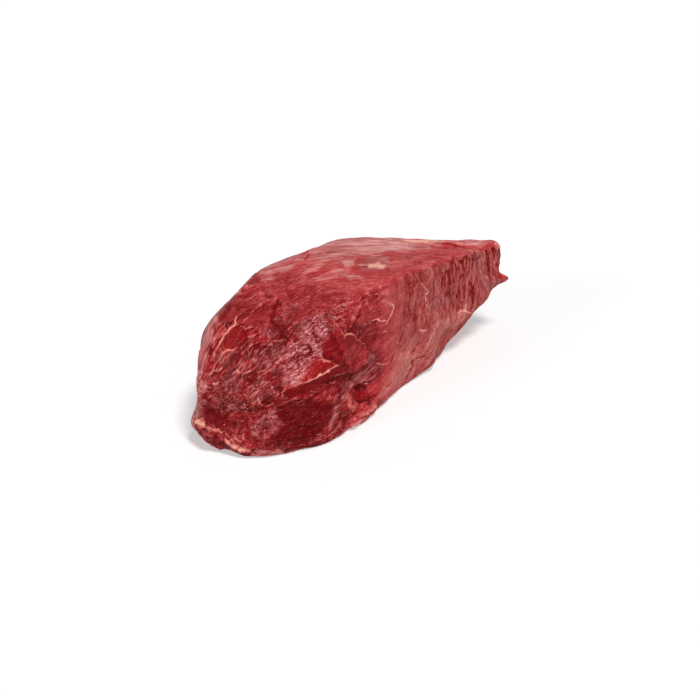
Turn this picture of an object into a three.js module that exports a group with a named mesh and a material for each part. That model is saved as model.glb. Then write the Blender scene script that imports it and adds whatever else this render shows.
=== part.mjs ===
// A raw beef round roast: one trimmed muscle, thick and domed at its nose and tapering to a
// blunt cut at its far end. Millimetres, +Z up, +X along the grain towards the far end.
// The origin is on the resting surface, under the middle of the roast.

import * as THREE from 'three';
import { mergeVertices } from 'three/addons/utils/BufferGeometryUtils.js';
import { ImprovedNoise } from 'three/addons/math/ImprovedNoise.js';

// Driving dimensions. Every trimmed face bounds the muscle: the compass bearing that it looks
// towards (0 is +X, 90 is +Y), its tilt above the horizon, and its distance from the heart.
const HEART = new THREE.Vector3(0, 0, 62);
const FACES = [
  { name: 'base', bearing: 0, tilt: -90, distance: 62 },
  { name: 'top', bearing: 0, tilt: 80, distance: 75 },
  { name: 'top towards the nose', bearing: -170, tilt: 84, distance: 70 },
  { name: 'shoulder over the lobe', bearing: -104, tilt: 46, distance: 85 },
  { name: 'side cut', bearing: -86, tilt: 0, distance: 56 },
  { name: 'side undercut', bearing: -84, tilt: -45, distance: 80 },
  { name: 'nose side', bearing: -104, tilt: -4, distance: 80 },
  { name: 'nose corner', bearing: -127, tilt: 0, distance: 111 },
  { name: 'nose', bearing: -158, tilt: 2, distance: 135 },
  { name: 'nose tip', bearing: 172, tilt: -22, distance: 157 },
  { name: 'nose left', bearing: 130, tilt: 5, distance: 114 },
  { name: 'back', bearing: 95, tilt: 0, distance: 78 },
  { name: 'back brow', bearing: 86, tilt: 54, distance: 87 },
  { name: 'back taper', bearing: 52, tilt: 44, distance: 111 },
  { name: 'brow left', bearing: 110, tilt: 36, distance: 91 },
  { name: 'brow', bearing: -165, tilt: 39, distance: 117 },
  { name: 'brow right', bearing: -118, tilt: 42, distance: 94 },
  { name: 'far cap', bearing: -25, tilt: 3, distance: 216 },
  { name: 'far end', bearing: 38, tilt: 6, distance: 160 },
  { name: 'far undercut', bearing: -68, tilt: -33, distance: 98 },
];
const EDGE_SHARPNESS = 24; // a higher power leaves a smaller round where two faces meet
const SEAT_DEPTH = 2; // what the muscle's own weight presses flat underneath

// Relief: marks along short lines on the muscle. A mark's rise lifts the surface along the whole
// line, and its step lifts the side above the line and sinks the side below it.
const MARKS = [
  { name: 'cleft down the brow', reach: 11, rise: -4, line: [[-65, 0, 126], [-95, -31, 118], [-108, -45, 98]] },
  {
    name: 'ridge across the nose', reach: 15, rise: 1, step: 4,
    line: [[-125, -42, 62], [-95, -58, 76], [-62, -60, 75]],
  },
  { name: 'flap', reach: 12, rise: 3, line: [[-82, -60, 84], [-64, -60, 82]] },
  { name: 'fold of the lobe', reach: 14, step: -2.5, line: [[-51, -58, 115], [-36, -58, 99], [-12, -57, 79]] },
  { name: 'lobe edge', reach: 12, step: 2.5, line: [[-50, -60, 66], [-29, -58, 59], [-10, -57, 58]] },
  { name: 'low fold', reach: 9, step: 2, line: [[-101, -56, 57], [-78, -60, 60], [-57, -60, 57]] },
  { name: 'pocket', reach: 11, rise: -5, line: [[-18, -57, 34]] },
  { name: 'rim of the pocket', reach: 7, rise: 2.5, line: [[-40, -58, 30], [-22, -57, 18], [2, -55, 22]] },
  { name: 'bulge over the floor', reach: 18, rise: 5, line: [[-75, -62, 10], [-35, -58, 8], [10, -54, 10]] },
  {
    name: 'lip of the nose', reach: 11, rise: 4, step: 3.5,
    line: [[-146, 26, 20], [-147, 8, 18], [-142, -8, 12], [-136, -22, 4]],
  },
  { name: 'hollow over the lip', reach: 10, rise: -3, line: [[-148, 10, 38], [-140, -14, 32]] },
  {
    name: 'crack in the side', reach: 7, rise: -2.5,
    line: [[66, -52, 43], [57, -52, 38], [61, -52, 25], [53, -52, 14]],
  },
  { name: 'hollow above the floor', reach: 14, rise: -3, line: [[60, -50, 14], [82, -51, 17]] },
  { name: 'notch under the side', reach: 14, rise: -10, line: [[118, -46, 24], [128, -45, 28]] },
  { name: 'bump at the notch', reach: 9, rise: 3, line: [[101, -46, 14]] },
  { name: 'bump under the side', reach: 11, rise: 3, line: [[141, -48, 42]] },
  { name: 'heel of the far end', reach: 14, rise: 6, line: [[182, -44, 56], [198, -42, 64]] },
  { name: 'groove along the back', reach: 8, rise: -3.5, line: [[128, 4, 113], [150, -20, 110], [180, -30, 107]] },
  { name: 'edge along the back', reach: 12, rise: 2.5, line: [[60, 40, 122], [105, 22, 117], [135, 8, 113]] },
  { name: 'corner of the far end', reach: 9, rise: 4, line: [[205, -34, 103], [214, -38, 104]] },
];
const STEP_SOFTNESS = 3; // half the width over which a step rises

// The grain stands out as upright ridges on the side cut, deeper towards the far end and near
// the top. They wander along their length, and start where the surface has turned to the side.
const GRAIN = { spacing: 20, depth: 1.4, wander: 0.7, bend: new THREE.Vector3(40, 40, 55) };
const GRAIN_ALONG = { from: 25, full: 120 };
const GRAIN_UP = { from: 25, full: 75, least: 0.35 };
const GRAIN_FACING = { from: 0.55, full: 0.95 };

// Unevenness of the whole surface: its wavelengths and heights. Each layer is read from another
// part of the noise.
const LUMPS = [
  { wavelength: 62, height: 3, shift: 7.3 },
  { wavelength: 27, height: 1.8, shift: 14.6 },
  { wavelength: 17, height: 0.9, shift: 21.9 },
];

// How far a surface must look down for its relief to be pressed out, and to be left whole.
const PRESSED = { flat: -0.95, whole: -0.5 };

// A torn shred of meat that sticks out of the far end.
const SHRED = { root: new THREE.Vector3(210.5, -37, 61), bearing: -48, length: 10, width: 8 };

const SPHERE_DETAIL = 22; // faces of the starting sphere: 20 * (detail + 1)^2
const SPREAD = new THREE.Vector3(200, 66, 66); // half sizes that spread the facets evenly
const SPREAD_CENTRE = new THREE.Vector3(18, -18, 8); // draws them closer together on the side cut
const WELD = 1e-5; // of the starting sphere's radius

function outward(bearing, tilt) {
  const b = THREE.MathUtils.degToRad(bearing);
  const t = THREE.MathUtils.degToRad(tilt);
  return new THREE.Vector3(Math.cos(b) * Math.cos(t), Math.sin(b) * Math.cos(t), Math.sin(t));
}

const faces = FACES.map((face) => ({ ...face, normal: outward(face.bearing, face.tilt) }));
const marks = MARKS.map((mark) => ({ ...mark, points: mark.line.map((p) => new THREE.Vector3(...p)) }));

// How far the trimmed muscle reaches from the heart along a unit direction.
function reachAlong(direction) {
  let sum = 0;
  for (const { normal, distance } of faces) {
    const lean = normal.dot(direction) / distance;
    if (lean > 0) sum += lean ** EDGE_SHARPNESS;
  }
  return sum ** (-1 / EDGE_SHARPNESS);
}

// The trimmed muscle's outward normal along a unit direction.
function normalAlong(direction) {
  const sum = new THREE.Vector3();
  for (const { normal, distance } of faces) {
    const lean = normal.dot(direction) / distance;
    if (lean > 0) sum.addScaledVector(normal, lean ** (EDGE_SHARPNESS - 1) / distance);
  }
  return sum.normalize();
}

// The distance from a point to a mark's line, and how far the point lies above the line.
function offsetFrom(points, point, normal) {
  let away = Infinity;
  let above = 0;
  const near = new THREE.Vector3();
  for (let i = 0; i < Math.max(1, points.length - 1); i += 1) {
    const start = points[i];
    const end = points[Math.min(i + 1, points.length - 1)];
    new THREE.Line3(start, end).closestPointToPoint(point, start !== end, near);
    const gap = near.distanceTo(point);
    if (gap < away) {
      away = gap;
      const across = end.clone().sub(start).cross(normal).negate().normalize();
      above = point.clone().sub(near).dot(across);
    }
  }
  return { away, above };
}

function markHeight(point, normal) {
  let height = 0;
  for (const { points, reach, rise = 0, step = 0 } of marks) {
    const { away, above } = offsetFrom(points, point, normal);
    const fade = Math.exp(-((away / reach) ** 2));
    height += fade * (rise + step * Math.tanh(above / STEP_SOFTNESS));
  }
  return height;
}

const noise = new ImprovedNoise();

function lumpHeight(point) {
  let height = 0;
  for (const lump of LUMPS) {
    const p = point.clone().divideScalar(lump.wavelength).addScalar(lump.shift);
    height += lump.height * noise.noise(p.x, p.y, p.z);
  }
  return height;
}

function grainHeight(point, normal) {
  const { smoothstep } = THREE.MathUtils;
  const bent = point.clone().divide(GRAIN.bend);
  const wander = GRAIN.wander * noise.noise(bent.x, bent.y, bent.z);
  const phase = 2 * Math.PI * (point.x / GRAIN.spacing + wander);
  const facing = smoothstep(-normal.y, GRAIN_FACING.from, GRAIN_FACING.full);
  const along = smoothstep(point.x, GRAIN_ALONG.from, GRAIN_ALONG.full);
  const up = THREE.MathUtils.lerp(GRAIN_UP.least, 1, smoothstep(point.z, GRAIN_UP.from, GRAIN_UP.full));
  return GRAIN.depth * facing * along * up * Math.sin(phase);
}

// All the relief together. Underneath, where the muscle rests, it is pressed out.
function reliefHeight(point, normal) {
  const pressed = THREE.MathUtils.smoothstep(normal.z, PRESSED.flat, PRESSED.whole);
  return pressed * (markHeight(point, normal) + lumpHeight(point) + grainHeight(point, normal));
}

// Pulls the surface out into the shred, round its root.
function pullShred(point) {
  const gap = point.distanceTo(SHRED.root);
  const pull = Math.max(0, 1 - gap / SHRED.width);
  return outward(SHRED.bearing, 0).multiplyScalar(SHRED.length * pull);
}

function roastGeometry() {
  const sphere = new THREE.IcosahedronGeometry(1, SPHERE_DETAIL);
  sphere.deleteAttribute('normal');
  sphere.deleteAttribute('uv');
  const geometry = mergeVertices(sphere, WELD);
  const position = geometry.getAttribute('position');
  const direction = new THREE.Vector3();
  for (let i = 0; i < position.count; i += 1) {
    direction.fromBufferAttribute(position, i).multiply(SPREAD).add(SPREAD_CENTRE).normalize();
    const normal = normalAlong(direction);
    const point = direction.multiplyScalar(reachAlong(direction)).add(HEART);
    const pull = pullShred(point);
    point.addScaledVector(normal, reliefHeight(point, normal)).add(pull);
    position.setXYZ(i, point.x, point.y, Math.max(0, point.z - SEAT_DEPTH));
  }
  geometry.computeVertexNormals();
  return geometry;
}

const beef = new THREE.MeshStandardMaterial({ color: 0x8e2a2c, roughness: 0.45, metalness: 0 });

const roast = new THREE.Mesh(roastGeometry(), beef);
roast.name = 'beef_round';
const middle = new THREE.Box3().setFromObject(roast).getCenter(new THREE.Vector3());
roast.position.set(-middle.x, -middle.y, 0);

const group = new THREE.Group();
group.add(roast);

export default group;
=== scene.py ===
"""A raw beef round roast on a pale floor.

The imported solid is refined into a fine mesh, which then gets the grain, folds, veins and skins that
show on the real muscle. Shapes are worked out in millimetres and turned into metres at the end.
"""

import itertools
import math
from types import SimpleNamespace

import bpy
import numpy as np
from mathutils import Matrix, Vector
from mathutils.bvhtree import BVHTree


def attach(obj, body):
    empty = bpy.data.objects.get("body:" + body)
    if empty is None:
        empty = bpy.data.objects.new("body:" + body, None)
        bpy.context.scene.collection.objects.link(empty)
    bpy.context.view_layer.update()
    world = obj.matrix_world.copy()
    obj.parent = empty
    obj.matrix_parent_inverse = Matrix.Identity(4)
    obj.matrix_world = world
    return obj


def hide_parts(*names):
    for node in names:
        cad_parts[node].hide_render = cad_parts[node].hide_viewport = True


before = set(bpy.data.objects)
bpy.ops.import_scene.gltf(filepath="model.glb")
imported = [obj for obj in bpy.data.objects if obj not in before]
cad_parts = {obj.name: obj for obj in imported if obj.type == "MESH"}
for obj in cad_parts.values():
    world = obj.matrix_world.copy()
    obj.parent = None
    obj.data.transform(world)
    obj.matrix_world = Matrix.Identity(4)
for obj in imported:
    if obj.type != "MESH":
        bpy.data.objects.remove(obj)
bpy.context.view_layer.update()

MM = 0.001  # metres

# The camera, in the frame of the solid.
PHOTO_SIZE = np.array([700.0, 693.0])  # pixels
LENS = 85.0
SENSOR = 36.0
AZIMUTH = math.radians(-48.0)
ELEVATION = math.radians(28.0)
TARGET = np.array([-31.58, -37.06, 60.0])
DISTANCE = 1550.0
SIGHT_END = 20.0  # metres
FOCAL = LENS / SENSOR * PHOTO_SIZE[0]  # pixels
RIGHT = np.array([math.cos(AZIMUTH), math.sin(AZIMUTH), 0.0])
BACK = np.array([
    math.sin(AZIMUTH) * math.cos(ELEVATION),
    -math.cos(AZIMUTH) * math.cos(ELEVATION),
    math.sin(ELEVATION),
])
UP = np.cross(BACK, RIGHT)
EYE = TARGET + DISTANCE * BACK

# The muscle fibres run from the tip of the nose, over the muscle, to the far end.
NOSE_POLE = np.array([-180.0, 4.0, 14.0])
FAR_POLE = np.array([200.0, -45.0, 80.0])
GIRTH_RADIUS = 62.0
POLE_RADIUS = 60.0  # nearer to the axis than this, the fibres end in the surface
TOP_HEADING = math.radians(-33.0)  # of the fibres on the top
CUT_WAY = np.array([0.5, -0.866])  # the level way that the side cut faces

# Sizes of the bundles of fibres and of the smaller ones inside them: along and across the fibres,
# and on the side cut across and along its cords.
BUNDLE = [36.0, 8.0, 8.0]
SMALL_BUNDLE = [11.0, 4.4, 4.4]
CORD = [6.5, 26.0, 45.0]
THREAD = [3.8, 14.0, 30.0]

# The torn shred at the far end, which smoothing shortens.
SHRED_TIP = np.array([185.6, -54.5, 59.0])
SHRED_WAY = np.array([0.67, -0.74, 0.0])
SHRED_REACH = 8.0
SHRED_PULL = 4.5

# Longest edges of the refined mesh.
EDGE_COARSE = 5.0
EDGE_FRONT = 2.4
EDGE_HIDDEN = 4.6
EDGE_SEAT = 8.0
EDGE_MARK = 1.2
FIRST_ROUNDS = 5  # of smoothing, before the mesh is refined
ROUNDS = (3, 2, 0)  # of smoothing, after each time that it is refined
LEVEL_ROUNDS = 14  # of averaging, to tell hollows from their surroundings

# Kinds of marks on the muscle: rise lifts the surface along a mark's line, and step lifts the side
# on the left of the line and sinks the side on its right. Lip is how much fat the edge of the
# raised side has, and shade is how much painted shade the sunken side gets. The others are how
# strongly the line is coloured: the darkness of grooves and dents is painted shade, dark marks are
# partly the meat's deep colour and partly painted shade, pale marks are partly paler meat and partly
# painted light, and a rim's pale line is partly fat and partly a painted highlight on a lit edge.
KINDS = {
    "vein": {"rise": 0.3, "fat": 1.0},
    # A rim's pale line is partly fat and partly a painted highlight on a lit edge.
    "rim": {"rise": 0.45, "fat": 0.62},
    "ledge": {"step": 0.95, "lip": 0.8, "shade": 0.45},
    "fold": {"step": 0.8, "lip": 0.25, "shade": 0.8},
    "groove": {"rise": -0.8, "dark": 0.75},
    "ridge": {"rise": 1.0},
    "dent": {"rise": -1.0, "dark": 0.35},
    "film": {"film": 0.9},
    "pale": {"haze": 0.8},
    "dark": {"dark": 0.8},
    "red": {"red": 0.9},
}
BROAD_KINDS = ("film", "pale", "dark", "red", "ridge", "dent")  # a coarser mesh is enough for them
STEP_SOFTNESS = 0.6
SEAT_LEVEL = 0.3  # below this the muscle rests on the floor
UNSEEN_VEINS = 60

# What the marks and areas put on each point. Calm keeps the relief and the pattern of the fibres
# away, and strewn brings more torn ends of fibres. The pale paint makes the meat paler, partly as its
# own paler colour and partly as painted light. The dark paint is partly the meat's deep colour and
# partly painted shade. The film paint is a real glossy membrane whose colour is partly painted sheen.
PAINTS = ("fat", "film", "skin", "calm", "haze", "dark", "red", "strewn")
FIELDS = PAINTS + ("hollow", "crease", "ridge", "tint", "cut", "top", "deep")

# Marks that show in the photograph: kind, half width in mm, strength, and a line in its pixels.
MARKS = [
    # The pale underside of the side cut, partly painted light, and a dark band on the nose.
    ("pale", 16.0, 1.0, [(476, 306), (452, 322), (428, 345), (402, 372), (384, 388)]),
    ("pale", 9.0, 0.5, [(436, 326), (410, 345), (388, 366)]),
    ("dark", 7.0, 0.4, [(245, 340), (262, 352), (270, 372)]),
    # The long vein over the left of the nose, and its branches.
    ("vein", 1.3, 1.0, [(237, 314), (235, 321), (235, 325), (229, 329), (225, 334), (223, 339),
                        (219, 346), (216, 350), (214, 355)]),
    ("vein", 0.8, 0.8, [(235, 325), (244, 327), (246, 330), (249, 327), (259, 327)]),
    ("vein", 0.6, 0.6, [(238, 324), (246, 319), (254, 315)]),
    ("vein", 0.8, 0.9, [(219, 348), (223, 353), (226, 350), (232, 350), (238, 347)]),
    ("vein", 0.7, 0.6, [(214, 355), (211, 361), (209, 364)]),
    ("vein", 1.0, 1.0, [(210, 375), (214, 371), (219, 371), (222, 368)]),
    ("vein", 1.5, 1.0, [(236, 370), (240, 373)]),
    ("vein", 0.9, 1.1, [(246, 373), (251, 371)]),
    ("vein", 1.2, 1.05, [(213, 384), (216, 384), (220, 381)]),
    ("rim", 0.7, 0.8, [(244, 352), (249, 348), (255, 343), (262, 342)]),
    ("rim", 0.7, 0.8, [(264, 345), (271, 341), (284, 340)]),
    ("rim", 0.6, 0.7, [(276, 333), (284, 332)]),
    ("vein", 1.4, 1.0, [(275, 364), (278, 361), (284, 359)]),
    ("vein", 0.8, 0.7, [(231, 298), (236, 291), (238, 289)]),
    ("vein", 0.6, 0.6, [(203, 367), (206, 377), (208, 383), (212, 384)]),
    # Bumps along the outline, from the brow to the lip of the nose, and over the floor.
    ("ridge", 9.0, 2.6, [(311, 253), (320, 249)]),
    ("ridge", 3.0, 1.4, [(290, 259)]),
    ("ridge", 3.2, 1.6, [(246, 287)]),
    ("ridge", 3.0, 1.5, [(216, 318)]),
    ("ridge", 14.0, 3.4, [(203, 352), (202, 372), (202, 396)]),
    ("ridge", 8.0, 3.2, [(204, 434), (212, 441), (222, 447)]),
    ("ridge", 8.0, 4.0, [(352, 423), (362, 417), (374, 407)]),
    # Veins on the low left of the nose.
    ("vein", 1.0, 1.05, [(252, 395), (256, 393), (262, 388)]),
    ("vein", 0.8, 1.1, [(257, 395), (258, 400), (261, 405), (264, 404)]),
    ("vein", 0.6, 0.6, [(253, 383), (253, 391)]),
    ("vein", 0.7, 0.7, [(218, 393), (216, 398), (216, 403), (219, 409)]),
    ("vein", 0.8, 0.6, [(227, 407), (231, 405), (235, 403)]),
    ("vein", 0.7, 0.6, [(224, 425), (226, 423)]),
    ("vein", 0.8, 0.6, [(243, 409), (246, 407)]),
    # The lip of fat under the nose, and the streaks and the ring beside it.
    ("vein", 4.6, 0.96, [(194, 421), (199, 422), (205, 426)]),
    ("vein", 1.8, 0.7, [(204, 426), (210, 429), (217, 430), (222, 433)]),
    ("vein", 0.8, 0.8, [(225, 433), (231, 439), (238, 446)]),
    ("vein", 1.0, 0.9, [(234, 435), (236, 439), (241, 442), (244, 439), (243, 434)]),
    ("vein", 3.8, 0.92, [(226, 440), (230, 445), (238, 449), (250, 451)]),
    ("vein", 1.2, 0.7, [(199, 388), (203, 391), (208, 391)]),
    ("vein", 1.0, 0.6, [(198, 382), (203, 384), (208, 382)]),
    ("vein", 1.0, 0.8, [(244, 446), (247, 447)]),
    ("vein", 0.9, 0.7, [(250, 430), (256, 434), (262, 440)]),
    ("groove", 1.2, 0.8, [(204, 430), (213, 435), (222, 441), (227, 449)]),
    ("dark", 4.0, 0.8, [(199, 433), (210, 440), (222, 447)]),
    ("film", 2.5, 0.5, [(197, 431), (206, 438)]),
    ("red", 3.0, 0.5, [(197, 436), (206, 442), (216, 448)]),
    ("red", 5.0, 0.5, [(246, 446), (258, 443), (250, 438)]),
    # The dark cleft over the brow, darkened with painted shade.
    ("groove", 1.3, 0.9, [(278, 298), (280, 305), (280, 312)]),
    ("dark", 3.5, 1.25, [(278, 300), (274, 310), (272, 322)]),
    ("dark", 5.0, 1.3, [(277, 324), (281, 331), (281, 338), (285, 338)]),
    ("dark", 4.0, 1.1, [(279, 347), (282, 353)]),
    ("groove", 1.5, 1.2, [(271, 318), (273, 323)]),
    ("groove", 1.5, 1.2, [(276, 328), (279, 333), (281, 338)]),
    ("groove", 1.2, 1.0, [(284, 336), (288, 340)]),
    ("rim", 0.7, 0.7, [(273, 319), (277, 315), (280, 319), (284, 321)]),
    ("film", 3.0, 0.9, [(275, 315), (282, 321)]),
    ("film", 3.5, 0.55, [(286, 318), (291, 313), (294, 309)]),
    ("film", 3.0, 0.5, [(278, 346), (278, 354)]),
    # The wrinkled, glossy skin in the middle, with its cracks.
    ("groove", 1.3, 1.6, [(298, 358), (302, 354), (306, 355), (312, 351), (310, 347), (307, 344)]),
    ("groove", 1.2, 1.5, [(294, 342), (298, 339), (303, 337)]),
    ("groove", 1.1, 1.3, [(314, 327), (313, 333), (316, 337)]),
    ("groove", 1.1, 1.3, [(298, 369), (299, 364), (297, 361)]),
    ("groove", 1.1, 1.2, [(289, 362), (293, 359), (295, 354)]),
    ("rim", 0.6, 0.7, [(306, 324), (312, 318), (323, 313), (333, 311), (342, 309)]),
    ("rim", 0.6, 0.5, [(301, 331), (305, 325)]),
    # A smaller glossy patch, and the steps and cracks of the torn meat on the nose.
    ("film", 3.0, 0.5, [(282, 378), (290, 372)]),
    ("dark", 2.6, 0.8, [(222, 403), (224, 410)]),
    ("ledge", 2.6, 0.75, [(243, 354), (249, 348), (255, 344), (263, 342)]),
    ("ledge", 2.6, 0.75, [(262, 347), (270, 342), (285, 340)]),
    ("ledge", 2.4, 0.7, [(236, 374), (240, 374), (248, 373), (256, 369)]),
    ("ledge", 2.4, 0.7, [(209, 375), (214, 372), (222, 368)]),
    ("ledge", 2.4, 0.7, [(255, 382), (262, 376), (270, 371), (276, 366), (286, 360)]),
    ("ledge", 2.2, 0.7, [(224, 400), (231, 392), (238, 386), (244, 378)]),
    ("ledge", 2.4, 0.8, [(224, 415), (232, 409), (240, 402), (246, 396)]),
    ("ledge", 2.4, 0.9, [(252, 427), (260, 422), (268, 415), (280, 411)]),
    ("ledge", 2.2, 0.7, [(206, 404), (211, 397), (216, 389)]),
    ("ledge", 2.4, 0.8, [(248, 409), (256, 405), (266, 399), (274, 393)]),
    ("ledge", 2.4, 0.8, [(216, 408), (222, 402), (229, 396)]),
    ("ledge", 2.2, 0.7, [(232, 416), (240, 411), (247, 405)]),
    ("ledge", 2.4, 0.7, [(238, 344), (247, 338), (258, 334)]),
    ("ledge", 2.4, 0.7, [(252, 312), (260, 305), (270, 300)]),
    ("ledge", 2.2, 0.6, [(240, 306), (247, 300), (256, 296)]),
    ("ledge", 2.2, 0.6, [(286, 330), (294, 325), (303, 320)]),
    ("groove", 1.3, 1.2, [(220, 399), (221, 404), (224, 408), (228, 408)]),
    ("groove", 1.1, 1.0, [(236, 379), (238, 384), (238, 390)]),
    ("groove", 1.1, 1.0, [(229, 372), (234, 370), (239, 374)]),
    ("groove", 1.1, 1.0, [(243, 396), (246, 403), (250, 410), (254, 416)]),
    ("groove", 1.0, 0.9, [(258, 362), (262, 366), (268, 365)]),
    ("groove", 1.0, 0.9, [(246, 378), (252, 382), (256, 388)]),
    ("groove", 1.0, 0.9, [(232, 394), (238, 398), (242, 404)]),
    # The flap, and the long lit ridge below it.
    ("rim", 0.8, 1.0, [(313, 364), (317, 360), (322, 359), (328, 361), (334, 364), (339, 366)]),
    ("vein", 1.4, 0.75, [(316, 361), (320, 360), (325, 361), (329, 362)]),
    ("ledge", 3.8, 1.25, [(282, 393), (286, 390), (295, 386), (304, 381), (312, 378), (319, 376),
                          (323, 375), (330, 370), (337, 366)]),
    ("vein", 1.3, 0.95, [(284, 391), (294, 387), (304, 382), (313, 378), (322, 374), (331, 371)]),
    ("ledge", 3.0, 0.7, [(265, 405), (273, 399), (281, 393)]),
    ("vein", 0.9, 0.9, [(282, 393), (283, 398)]),
    ("vein", 1.0, 0.7, [(288, 377), (294, 374), (299, 371)]),
    ("vein", 2.0, 0.8, [(292, 387), (300, 383), (307, 380)]),
    # The raised lobe on the right of the flap: its upper rim and its lower edge.
    ("ledge", 3.4, 1.15, [(366, 346), (361, 342), (357, 339), (354, 336), (350, 333), (346, 333),
                          (343, 335), (341, 331), (338, 325), (334, 321)]),
    ("vein", 1.3, 0.95, [(344, 335), (347, 334), (351, 334), (355, 338)]),
    ("vein", 1.1, 1.0, [(362, 343), (365, 345)]),
    ("ledge", 3.0, 0.9, [(336, 376), (345, 373), (354, 371), (362, 368), (368, 365)]),
    ("film", 3.5, 0.35, [(348, 322), (356, 326), (362, 332)]),
    # Folds below the ridge.
    ("fold", 2.6, 1.0, [(319, 392), (324, 387), (331, 383), (336, 382), (340, 385)]),
    ("rim", 0.6, 0.7, [(325, 386), (331, 383), (336, 382), (339, 384)]),
    ("fold", 2.2, 0.9, [(297, 400), (302, 399), (311, 396)]),
    ("rim", 0.6, 0.7, [(302, 399), (311, 396)]),
    ("rim", 0.6, 0.7, [(319, 395), (325, 392), (332, 391)]),
    ("rim", 0.7, 0.7, [(319, 391), (322, 389), (325, 386)]),
    ("vein", 0.8, 0.7, [(311, 390), (314, 393), (318, 391)]),
    ("vein", 0.7, 0.6, [(313, 393), (315, 398)]),
    ("groove", 1.4, 0.9, [(325, 383), (332, 379), (339, 377)]),
    ("groove", 1.6, 0.9, [(304, 404), (308, 401), (313, 399)]),
    ("rim", 0.5, 0.4, [(323, 381), (329, 379), (341, 375), (351, 374)]),
    ("rim", 0.6, 0.5, [(341, 387), (348, 390), (352, 386), (357, 381)]),
    ("vein", 1.6, 0.45, [(331, 404), (334, 400), (335, 397)]),
    ("vein", 0.7, 0.7, [(329, 400), (333, 397), (335, 403), (336, 410), (335, 420)]),
    ("ledge", 2.6, 0.7, [(295, 428), (299, 425), (306, 426), (318, 422)]),
    ("vein", 0.7, 0.7, [(270, 430), (274, 434)]),
    ("vein", 1.0, 0.7, [(334, 433), (338, 430)]),
    ("red", 2.5, 0.8, [(322, 441), (328, 440)]),
    ("pale", 5.0, 0.7, [(370, 374), (360, 380), (350, 392), (343, 402)]),
    # The pocket, with the round muscle in it, and the folds under it.
    ("dark", 3.0, 0.9, [(353, 396), (352, 389), (358, 385), (366, 387)]),
    ("groove", 1.4, 1.0, [(353, 396), (352, 389), (357, 385)]),
    ("vein", 0.9, 0.9, [(365, 383), (367, 384)]),
    ("rim", 0.7, 0.8, [(345, 397), (349, 393), (350, 399), (354, 402), (363, 404)]),
    ("rim", 0.5, 0.6, [(372, 360), (364, 370), (352, 378), (346, 386)]),
    ("rim", 0.5, 0.5, [(378, 368), (366, 376), (354, 382), (348, 394), (342, 404)]),
    ("groove", 1.2, 0.9, [(355, 400), (360, 402), (368, 399), (376, 396)]),
    ("groove", 1.3, 0.9, [(341, 424), (345, 419), (349, 415)]),
    ("groove", 1.3, 0.9, [(343, 430), (350, 423), (358, 417), (364, 414)]),
    ("rim", 0.7, 0.7, [(377, 397), (383, 391)]),
    # Veins on the side cut.
    ("vein", 1.1, 1.15, [(390, 303), (394, 306), (392, 313), (388, 320), (386, 325)]),
    ("vein", 0.9, 1.2, [(369, 322), (376, 319), (380, 321), (387, 321)]),
    ("vein", 0.8, 1.0, [(383, 332), (388, 331)]),
    ("vein", 1.0, 1.1, [(420, 282), (425, 288), (428, 292), (425, 296), (427, 301), (427, 307),
                        (425, 313)]),
    ("vein", 0.6, 0.7, [(427, 301), (431, 298)]),
    ("vein", 0.8, 0.8, [(428, 313), (429, 314)]),
    ("vein", 1.2, 1.1, [(419, 330), (423, 331), (426, 330)]),
    ("vein", 0.7, 0.8, [(423, 331), (423, 336)]),
    ("vein", 0.7, 0.7, [(405, 322), (407, 325), (414, 325)]),
    ("vein", 0.6, 0.7, [(393, 339), (397, 342), (402, 344)]),
    ("vein", 0.8, 0.7, [(389, 337), (391, 339)]),
    ("vein", 0.8, 0.9, [(376, 363), (383, 365), (390, 362)]),
    ("vein", 0.9, 1.0, [(408, 357), (406, 361), (405, 366)]),
    ("vein", 1.4, 1.1, [(457, 314), (462, 311), (466, 311), (469, 313), (475, 313)]),
    ("vein", 0.7, 0.7, [(459, 299), (466, 301)]),
    ("vein", 0.7, 0.7, [(459, 303), (462, 306)]),
    ("vein", 0.9, 1.0, [(480, 266), (480, 271), (482, 275), (481, 280)]),
    ("vein", 0.7, 0.7, [(491, 276), (493, 273), (496, 273)]),
    ("vein", 0.7, 0.7, [(435, 262), (438, 266), (436, 269)]),
    ("vein", 0.5, 0.6, [(450, 275), (447, 280), (446, 286)]),
    ("vein", 0.6, 0.6, [(441, 305), (443, 311)]),
    # Dark grooves between the cords of the side cut, and dark cracks under them, as painted shade.
    ("groove", 1.7, 1.0, [(462, 260), (463, 266), (465, 272)]),
    ("groove", 1.9, 1.0, [(475, 251), (474, 260), (472, 270)]),
    ("groove", 1.4, 0.9, [(488, 258), (489, 264), (489, 272)]),
    ("groove", 1.3, 0.7, [(454, 255), (453, 262), (452, 268)]),
    ("groove", 1.4, 0.8, [(443, 273), (443, 280), (442, 288)]),
    ("groove", 1.4, 0.9, [(464, 285), (465, 291), (465, 298)]),
    ("groove", 1.5, 0.9, [(450, 294), (452, 301), (454, 308)]),
    ("groove", 1.2, 0.8, [(450, 314), (451, 322)]),
    ("groove", 1.1, 0.7, [(442, 298), (442, 305)]),
    ("groove", 1.3, 0.8, [(471, 290), (470, 297)]),
    ("groove", 1.1, 0.7, [(481, 250), (482, 257)]),
    ("groove", 1.1, 0.7, [(496, 250), (497, 256)]),
    ("groove", 1.2, 0.8, [(411, 310), (410, 316), (409, 323)]),
    ("groove", 1.3, 0.9, [(405, 330), (402, 336), (400, 343)]),
    ("groove", 1.2, 0.9, [(395, 352), (393, 358), (389, 366)]),
    ("groove", 1.2, 0.7, [(415, 348), (412, 352), (409, 356)]),
    ("groove", 1.4, 0.9, [(412, 359), (413, 366), (409, 373), (406, 381)]),
    ("groove", 1.1, 0.8, [(416, 359), (421, 357), (426, 356)]),
    ("groove", 1.2, 0.8, [(387, 387), (392, 382)]),
    # Bumps and dents of the far end and of the notch under it, and two raised cords.
    ("dent", 4.0, 1.2, [(459, 330)]),
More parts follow.
